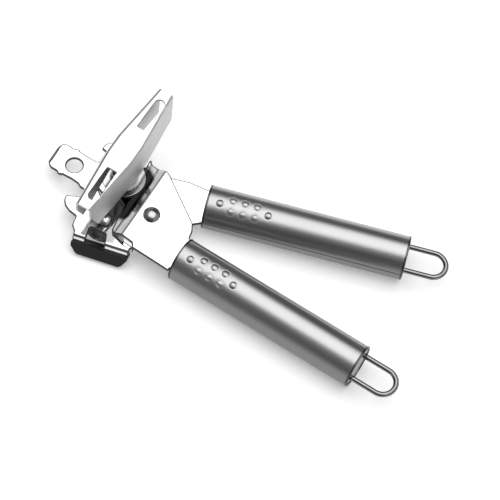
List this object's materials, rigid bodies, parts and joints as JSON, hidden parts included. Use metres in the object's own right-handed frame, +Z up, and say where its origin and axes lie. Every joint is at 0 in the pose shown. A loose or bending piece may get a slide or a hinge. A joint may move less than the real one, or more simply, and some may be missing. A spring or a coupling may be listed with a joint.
{
  "type": "manual can opener",
  "caption": "Manual can opener with two steel tube handles, a butterfly turning key, cutting and feed wheels, a magnet and a bottle opener tab.",
  "frame": {"origin": "centre of the bounding box on the table it lies on", "axes": "+Z up from the table, +X from the bottle opener tab towards the hanging loops, +Y towards the upper handle; the pivot, key shaft and cutter axle are all parallel to Z"},
  "size_m": [0.2, 0.0922, 0.041],
  "materials": {
    "brushed_steel": "satin brushed along the handle",
    "polished_steel": "mirror-polished stainless sheet",
    "rivet_steel": "polished turned steel",
    "hard_steel": "ground hardened steel",
    "chrome_wire": "bright chromed wire",
    "black_plastic": "moulded black plastic",
    "magnet": "dark sintered magnet"
  },
  "bodies": {
    "cutter_lever": {"cutter_lever_plate": "polished_steel", "pivot_rivet": "rivet_steel", "pivot_spacer": "rivet_steel", "pivot_washer": "rivet_steel", "cutter_axle": "rivet_steel", "cutter_spacer": "rivet_steel", "magnet_holder": "black_plastic", "magnet": "magnet", "upper_handle_tube": "brushed_steel", "upper_front_plug": "black_plastic", "upper_end_cap": "brushed_steel", "upper_hanging_loop": "chrome_wire"},
    "drive_lever": {"drive_lever_plate": "polished_steel", "shaft_bush": "hard_steel", "thrust_washer": "rivet_steel", "lower_handle_tube": "brushed_steel", "lower_front_plug": "black_plastic", "lower_end_cap": "brushed_steel", "lower_hanging_loop": "chrome_wire"},
    "key_and_feed_wheel": {"turning_key": "polished_steel", "drive_shaft": "hard_steel", "shaft_collar": "hard_steel", "spring_washer": "hard_steel", "feed_washer": "hard_steel", "feed_wheel": "hard_steel"},
    "cutter": {"cutting_wheel": "hard_steel"}
  },
  "joints": [
    {"name": "handle_pivot", "type": "hinge", "parent": "cutter_lever", "child": "drive_lever", "pos_m": [-0.04088, -0.00583, 0.012], "axis": [0, 0, 1], "range_deg": [-8, 18]},
    {"name": "key_turn", "type": "hinge", "parent": "drive_lever", "child": "key_and_feed_wheel", "pos_m": [-0.06207, 0.00836, 0.02], "axis": [0, 0, 1], "continuous": true},
    {"name": "cutter_spin", "type": "hinge", "parent": "cutter_lever", "child": "cutter", "pos_m": [-0.06137, -0.01483, 0.003], "axis": [0, 0, 1], "continuous": true}
  ]
}
